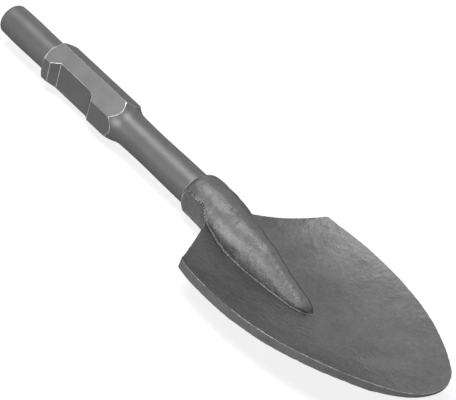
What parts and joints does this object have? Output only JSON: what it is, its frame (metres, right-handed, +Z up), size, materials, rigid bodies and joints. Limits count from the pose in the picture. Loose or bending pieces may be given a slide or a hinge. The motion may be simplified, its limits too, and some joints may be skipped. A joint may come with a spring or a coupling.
{
  "type": "clay spade chisel",
  "caption": "Clay spade chisel for a demolition hammer: hexagonal shank with a round spigot and a retainer notch, round shaft, forged neck and a wide dished spade blade with a rib.",
  "frame": {"origin": "centre of the bounding box at its base, on the floor that the chisel lies on", "axes": "+X from the tail of the shank to the cutting tip, +Z up with the hollow side of the blade up, +Y to the left seen from the tail"},
  "size_m": [0.4518, 0.1498, 0.0356],
  "materials": {
    "forged_steel": "blasted satin on the shank, forge scale on neck and blade"
  },
  "bodies": {
    "root": {"spade_chisel": "forged_steel"}
  },
  "joints": []
}
